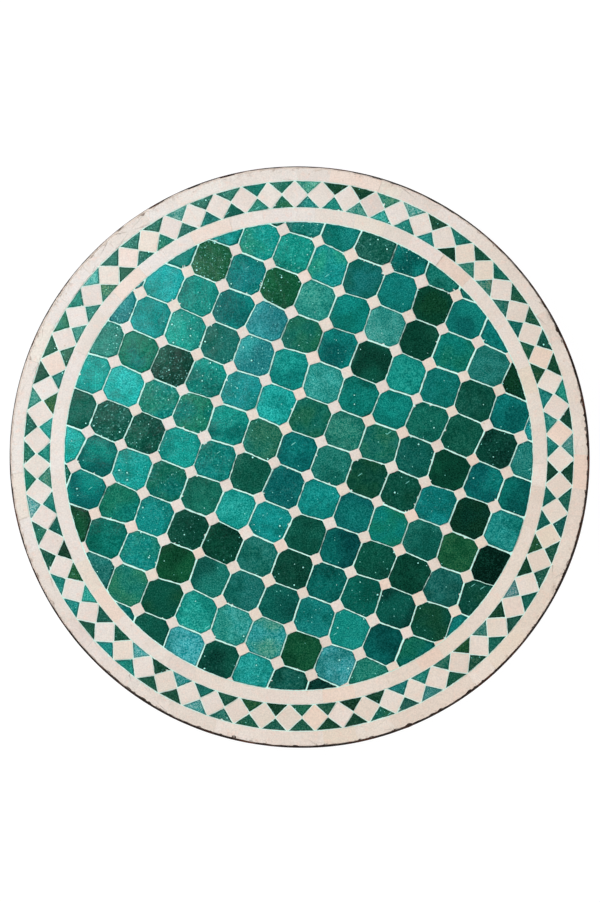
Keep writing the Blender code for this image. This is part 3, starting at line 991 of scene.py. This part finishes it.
def green_glaze(look):
    """Hand-made green glaze, with bare clay where it is chipped."""
    place = look.attribute("tile_place", "Vector")
    mottle = look.noise(place, GREEN_MOTTLE, 3.0, 0.6)
    grain = look.noise(place, GREEN_GRAIN, 2.0, 0.7)
    colour = green_shades(look, place, mottle, grain)
    colour, dot = glaze_marks(look, place, grain, colour)
    bare = look.remap(look.attribute("tile_bare", "Fac"), 0.15, 0.6, 0.0, 0.9)
    waves = look.times(look.noise(place, GREEN_WAVES, 1.0), 3.0)
    relief = look.math("ADD", waves, look.noise(place, GREEN_DIMPLES, 1.0))
    look.bump(look.math("SUBTRACT", relief, look.times(dot, 0.3)), GREEN_RELIEF, 1.0)
    gloss = look.remap(mottle, 0.3, 0.7, 0.08, 0.16)
    look.shade(Base_Color=look.mix(bare, colour, CHIP_WHITE), Roughness=look.math("MAXIMUM", gloss, bare))


# Ivory glaze

IVORY_BLUSH = opaque(238, 207, 190)
IVORY_STAIN = opaque(196, 172, 150)
GRIME = opaque(158, 130, 108)
IVORY_CLOUD = 0.018
IVORY_WAVES = 0.010
IVORY_GRAIN = 0.0016
IVORY_RELIEF = 0.0003
BLUSH_SIZE = 0.0048
STAIN_CELL = 0.012
STAIN_RADII = (0.0004, 0.0010)
GRIME_SIZE = 0.006
GRIME_REACH = 0.007


def ivory_glaze(look):
    """Warm ivory glaze: soft blush, faint cloud and fine grain, with grime beside the hoop."""
    place = look.attribute("tile_place", "Vector")
    cloud = look.noise(place, IVORY_CLOUD)
    blush = look.noise(place, BLUSH_SIZE, 2.0, 0.6)
    grain = look.noise(place, IVORY_GRAIN, 2.0, 0.7)
    colour = look.tile_shades(look.remap(cloud, 0.35, 0.65))
    colour = look.mix(look.remap(blush, 0.5, 0.75, 0.0, 0.40), colour, IVORY_BLUSH)
    colour = look.tone(colour, look.remap(grain, 0.25, 0.75, 0.90, 1.08))
    dot = specks(look, place, STAIN_CELL, 0.10, STAIN_RADII)[0]
    colour = look.mix(look.times(dot, 0.5), colour, IVORY_STAIN)
    spot = look.table_place()
    radius = look.vector("DISTANCE", spot, HOOP_CENTRE, "Value")
    near_hoop = look.remap(radius, RIM_INNER_RADIUS - GRIME_REACH, RIM_INNER_RADIUS)
    dirty = look.remap(look.noise(spot, GRIME_SIZE, 5.0, 0.7), 0.50, 0.78, 0.0, 0.8)
    colour = look.mix(look.times(near_hoop, dirty), colour, GRIME)
    waves = look.noise(place, IVORY_WAVES, 1.0)
    look.bump(look.math("ADD", waves, look.times(grain, 0.15)), IVORY_RELIEF, 0.4)
    look.shade(Base_Color=colour, Roughness=look.remap(cloud, 0.3, 0.7, 0.30, 0.45))


# Fine mortar, in the joints and over the hoop's edge

# Mint of the joints near green tiles: painted green bounce light
GROUT_GREEN_BOUNCE = opaque(206, 254, 241)
GROUT_IVORY = opaque(236, 228, 219)
GROUT_DARK = opaque(52, 38, 30)
SMEAR_PALE = opaque(222, 208, 196)
SMEAR_DIRT = opaque(120, 98, 84)
GROUT_FADE = 0.004
GROUT_PATCH = 0.020
GROUT_GRAIN = 0.0008
SMEAR_PATCH = 0.014
SMEAR_GRAIN = 0.001
MORTAR_RELIEF = 0.0002
DARK_PATCH_SIZE = 0.012
DARK_REACH = 0.0016
# The side away from the smear, where the mortar by the hoop is made darker
DARK_SIDE = (-cos(SMEAR_DIRECTION), -sin(SMEAR_DIRECTION), 0.0)


def dark_side_patches(look, place):
    """How much darker the mortar is made: patches on the side where little of it covers the hoop."""
    side = look.vector("DOT_PRODUCT", place, DARK_SIDE, "Value")
    patches = look.remap(look.noise(place, DARK_PATCH_SIZE, 3.0, 0.6), 0.36, 0.56, 0.2, 1.0)
    return look.times(patches, look.remap(side, -RIM_RADIUS / 3, RIM_RADIUS / 3))


def painted_green_bounce(look, place):
    """How much painted green bounce light from the green tiles the joints get: most in the field, and less in
    the border.
    """
    middle = (MOSAIC_CENTRE.real, MOSAIC_CENTRE.imag, TABLE_TOP)
    radius = look.vector("DISTANCE", place, middle, "Value")
    off_border = look.math("ABSOLUTE", look.math("SUBTRACT", radius, BORDER_MIDDLE_RADIUS))
    in_field = look.remap(radius, FIELD_RADIUS, FIELD_RADIUS + GROUT_FADE, 1.0, 0.0)
    in_border = look.remap(off_border, BORDER_WIDTH / 2, BORDER_WIDTH / 2 + GROUT_FADE, 0.7, 0.0)
    return look.math("MAXIMUM", in_field, in_border)


def joint_grout(look):
    """Pale grout with a fine grain, with painted green bounce light from the green tiles, and darker in
    patches along part of the hoop.
    """
    place = look.table_place()
    patch = look.noise(place, GROUT_PATCH, 3.0)
    grain = look.noise(place, GROUT_GRAIN, 2.0, 0.6)
    # Painted green bounce light from the green tiles
    colour = look.mix(painted_green_bounce(look, place), GROUT_IVORY, GROUT_GREEN_BOUNCE)
    colour = look.tone(colour, look.remap(patch, 0.40, 0.75, 1.0, 0.9),
                       look.remap(grain, 0.2, 0.8, 0.93, 1.03))
    radius = look.vector("DISTANCE", place, HOOP_CENTRE, "Value")
    near_hoop = look.remap(radius, RIM_INNER_RADIUS - 2 * DARK_REACH, RIM_INNER_RADIUS - DARK_REACH)
    # Darker patches along the hoop on one side
    colour = look.mix(look.times(near_hoop, dark_side_patches(look, place)), colour, GROUT_DARK)
    look.bump(grain, MORTAR_RELIEF, 0.5)
    look.shade(Base_Color=colour, Roughness=0.85)


def smear_mortar(look):
    """Mortar rubbed thin over iron, dirty in places and dark along one side."""
    place = look.table_place()
    dirt = look.noise(place, SMEAR_PATCH, 4.0, 0.65)
    grain = look.noise(place, SMEAR_GRAIN)
    colour = look.mix(look.remap(dirt, 0.48, 0.70, 0.0, 0.8), SMEAR_PALE, SMEAR_DIRT)
    colour = look.tone(colour, look.remap(grain, 0.2, 0.8, 0.88, 1.08))
    colour = look.mix(dark_side_patches(look, place), colour, GROUT_DARK)
    look.bump(grain, MORTAR_RELIEF, 0.6)
    look.shade(Base_Color=colour, Roughness=0.9)


# Coarse mortar

COARSE_GREY = opaque(164, 158, 149)
COARSE_DARK = opaque(120, 115, 108)
SAND = opaque(196, 186, 168)
COARSE_PATCH = 0.060
COARSE_GRAIN = 0.0018
COARSE_RELIEF = 0.0006
SAND_CELL = 0.005
SAND_RADII = (0.0003, 0.0007)


def coarse_mortar(look):
    """Grey cement mortar with sand and damp patches."""
    place = look.table_place()
    patch = look.noise(place, COARSE_PATCH, 4.0, 0.6)
    grain = look.noise(place, COARSE_GRAIN, 3.0, 0.65)
    dot, ring = specks(look, place, SAND_CELL, 0.35, SAND_RADII, "3D")
    colour = look.mix(look.remap(patch, 0.38, 0.66), COARSE_GREY, COARSE_DARK)
    colour = look.tone(colour, look.remap(grain, 0.2, 0.8, 0.80, 1.16))
    colour = look.mix(look.times(dot, 0.6), colour, SAND)
    look.bump(look.math("SUBTRACT", grain, look.times(ring, 0.4)), COARSE_RELIEF, 0.7)
    look.shade(Base_Color=colour, Roughness=0.94)


# Iron

IRON_BLACK = opaque(27, 15, 8)
IRON_BARE = opaque(66, 54, 45)
RUST = opaque(86, 50, 34)
RUST_PATCH = 0.035
RUBBED_PATCH = 0.011
IRON_GRAIN = 0.0022
IRON_RELIEF = 0.0004


def dark_iron(look):
    """Black strip iron: worn to metal in places, rusted in others."""
    place = look.table_place()
    grain = look.noise(place, IRON_GRAIN, 4.0, 0.7)
    patch = look.math("ADD", look.noise(place, RUST_PATCH, 5.0, 0.65), look.times(grain, 0.25))
    rusty = look.remap(patch, 0.62, 0.78, 0.0, 0.85)
    rubbed = look.remap(look.noise(place, RUBBED_PATCH, 4.0, 0.7), 0.58, 0.72, 0.0, 0.6)
    colour = look.mix(rusty, look.mix(rubbed, IRON_BLACK, IRON_BARE), RUST)
    colour = look.tone(colour, look.remap(grain, 0.25, 0.75, 0.7, 1.25))
    look.bump(grain, IRON_RELIEF, 0.6)
    look.shade(Base_Color=colour, Metallic=look.times(rubbed, 0.8),
               Roughness=look.remap(rusty, 0.0, 0.85, 0.5, 0.9))


def dress_node(node, material, bevel=0.0):
    """Give a solid that stays its material, and soften its edges."""
    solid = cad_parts[node]
    solid.data.materials.clear()
    solid.data.materials.append(material)
    if bevel:
        softened = solid.modifiers.new("soft_edges", "BEVEL")
        softened.width = bevel
        softened.segments = 2
        softened.limit_method = "ANGLE"


BAR_BEVEL = 0.0005
BEAD_FOOT = BAR_TOP / 2
BEAD_SIZE = 0.004
BEAD_SPREAD = (0.8, 1.1)
BEAD_SIDES = 12
BEAD_LEVELS = ((1.0, 0.0), (1.0, 0.0004), (0.9, 0.0012), (0.6, 0.0018))
BEAD_HEIGHT = 0.002
BEADS_PER_WELD = 7
WELD_HALF_LENGTH = 0.8 * BAR_HALF_WIDTH


def make_weld_beads(material):
    """Beads of weld where the cross bars meet the hoop."""
    draw = random.Random("beads")
    heap = TileHeap()
    for turn in QUARTER_TURNS:
        for side in np.linspace(-WELD_HALF_LENGTH, WELD_HALF_LENGTH, BEADS_PER_WELD):
            size = BEAD_SIZE * draw.uniform(*BEAD_SPREAD)
            centre = (BAR_REACH + 1j * side) * turn
            loop = on_circle(size / 2, np.arange(BEAD_SIDES) * tau / BEAD_SIDES)
            rings = [(centre + loop * share, np.full(BEAD_SIDES, BEAD_FOOT + height))
                     for share, height in BEAD_LEVELS]
            heap.add_rings(rings + [(np.array([centre]), np.array([BEAD_FOOT + BEAD_HEIGHT]))])
    make_piece("weld_beads", *heap.mesh(), material, "dark_iron")


# Stage: floor, light and camera

FLOOR_SIZE = 12.0
FLOOR_GREY = (0.8, 0.8, 0.8, 1.0)
FLOOR_SHADOW_GREY = (0.10, 0.10, 0.10, 1.0)
FLOOR_GLOW = 0.95
CAMERA_LENS = 85.0
CAMERA_SENSOR = 36.0
VIEW_HEIGHT = 0.9302
VIEW_CENTRE = (0.0004, 0.0063)
WHITE = (1.0, 1.0, 1.0, 1.0)
COOL_WHITE = (0.98, 1.0, 1.04)
WARM_WHITE = (1.03, 1.0, 0.96)
SIDE_PANELS = {
    "left": (Vector((-1.7, 1.0, 1.45)), 42.9, COOL_WHITE),
    "right": (Vector((1.5, -1.3, 1.45)), 23.6, WARM_WHITE),
}
SHEEN_SHARE = 0.15
SHEEN_STEP = 0.97
PANEL_SIZE = 1.3
OVERHEAD_PLACE = Vector((-0.58, 0.42, 3.0))
OVERHEAD_POWER = 1.1
OVERHEAD_SIZE = 0.6
SURROUND_HEIGHTS = (0.1, 0.9)
SURROUND_STRENGTHS = (1.0, 0.02)


def floor_white(look):
    """White to the camera and in mirrors, with a faint shadow, and pale grey to other light."""
    look.shade(Base_Color=FLOOR_GREY, Roughness=0.9, Specular_IOR_Level=0.0)
    path = look.add("LightPath", {})
    mirrored = look.math("MAXIMUM", path["Is Glossy Ray"], path["Is Transmission Ray"])
    seen = look.math("MAXIMUM", path["Is Camera Ray"], mirrored)
    glow = look.add("Emission", {"Color": WHITE, "Strength": FLOOR_GLOW})
    soft = look.add("BsdfDiffuse", {"Color": FLOOR_SHADOW_GREY})
    white = look.add("AddShader", {0: glow[0], 1: soft[0]})
    choice = look.add("MixShader", {0: seen, 1: look.shader.outputs[0], 2: white[0]})
    look.put(look.tree.nodes["Material Output"].inputs["Surface"], choice[0])


def make_floor():
    """A wide white floor."""
    half = FLOOR_SIZE / 2
    mesh = bpy.data.meshes.new("floor")
    corners = [(-half, -half, 0), (half, -half, 0), (half, half, 0), (-half, half, 0)]
    mesh.from_pydata(corners, [], [(0, 1, 2, 3)])
    mesh.materials.append(new_material(floor_white))
    floor = add_object("floor", mesh)


def add_panel(name, place, size, power, colour, mirrored=True):
    """A soft square light aimed at the middle of the table, which the glaze mirrors or not."""
    light = bpy.data.lights.new(name, "AREA")
    light.shape = "SQUARE"
    light.size = size
    light.energy = power
    light.color = colour
    panel = add_object(name, light)
    panel.location = place
    panel.rotation_euler = (-place).to_track_quat("-Z", "Y").to_euler()
    panel.visible_glossy = mirrored


def make_light():
    """Plain soft light: two side panels, a dim one overhead to the left, and a white surround, dark overhead.

    The glaze mirrors only a share of the side panels, so that no side of the table burns out.
    """
    for side, (place, power, colour) in SIDE_PANELS.items():
        add_panel(f"{side}_panel", place, PANEL_SIZE, power, colour, mirrored=False)
        add_panel(f"{side}_sheen", place * SHEEN_STEP, PANEL_SIZE, power * SHEEN_SHARE, colour)
    add_panel("overhead_panel", OVERHEAD_PLACE, OVERHEAD_SIZE, OVERHEAD_POWER, COOL_WHITE)
    world = bpy.data.worlds.new("surround")
    bpy.context.scene.world = world
    surround = Look(world, "Background")
    direction = surround.add("TexCoord", {})["Generated"]
    height = surround.add("SeparateXYZ", {0: direction})["Z"]
    limits = dict(enumerate((height, *SURROUND_HEIGHTS, *SURROUND_STRENGTHS)))
    surround.shade(Color=WHITE, Strength=surround.add("MapRange", limits)[0])


def make_camera():
    """A camera straight above, framed as the photograph."""
    data = bpy.data.cameras.new("camera")
    data.lens = CAMERA_LENS
    data.sensor_width = CAMERA_SENSOR
    camera = add_object("camera", data)
    camera.location = (*VIEW_CENTRE, TABLE_TOP + VIEW_HEIGHT * CAMERA_LENS / CAMERA_SENSOR)
    bpy.context.scene.camera = camera


def make_tiles():
    """All the tiles, row by row and ring by ring."""
    green = (new_material(green_glaze), "green_glaze")
    ivory = (new_material(ivory_glaze), "ivory_glaze")
    make_field("octagon_row", OCTAGON_ROWS, octagon_corners, OCTAGON, pick_green, *green)
    make_field("square_row", SQUARE_ROWS, square_corners, SQUARE, pick_ivory, *ivory)
    make_ring("outer_ring_tiles", RING_TILES, outer_ring_tile, HOOP_TILE, pick_ivory, *ivory)
    make_ring("inner_ring_tiles", RING_TILES, inner_ring_tile, RING_TILE, pick_ivory, *ivory)
    make_ring("border_outer_triangles", BORDER_REPEATS, outer_triangle, TRIANGLE, pick_border_green, *green)
    make_ring("border_inner_triangles", BORDER_REPEATS, inner_triangle, TRIANGLE, pick_border_green, *green)
    make_ring("border_diamonds", BORDER_REPEATS, diamond, DIAMOND, pick_ivory, *ivory)


def main():
    """Dress the whole table top."""
    bpy.context.scene.view_settings.view_transform = "Standard"
    grout, iron = new_material(joint_grout), new_material(dark_iron)
    make_tiles()
    make_grout(grout)
    make_hoop(iron)
    make_smear(new_material(smear_mortar))
    make_slab(new_material(coarse_mortar))
    make_weld_beads(iron)
    for node in ("cross_bar_long", "cross_bar_short_1", "cross_bar_short_2"):
        dress_node(node, iron, BAR_BEVEL)
    for node in ("rod_lengthwise_1", "rod_lengthwise_2", "rod_crosswise_1", "rod_crosswise_2"):
        dress_node(node, iron)
    dress_node("setting_bed", grout)

    make_floor()
    make_light()
    make_camera()
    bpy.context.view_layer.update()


main()
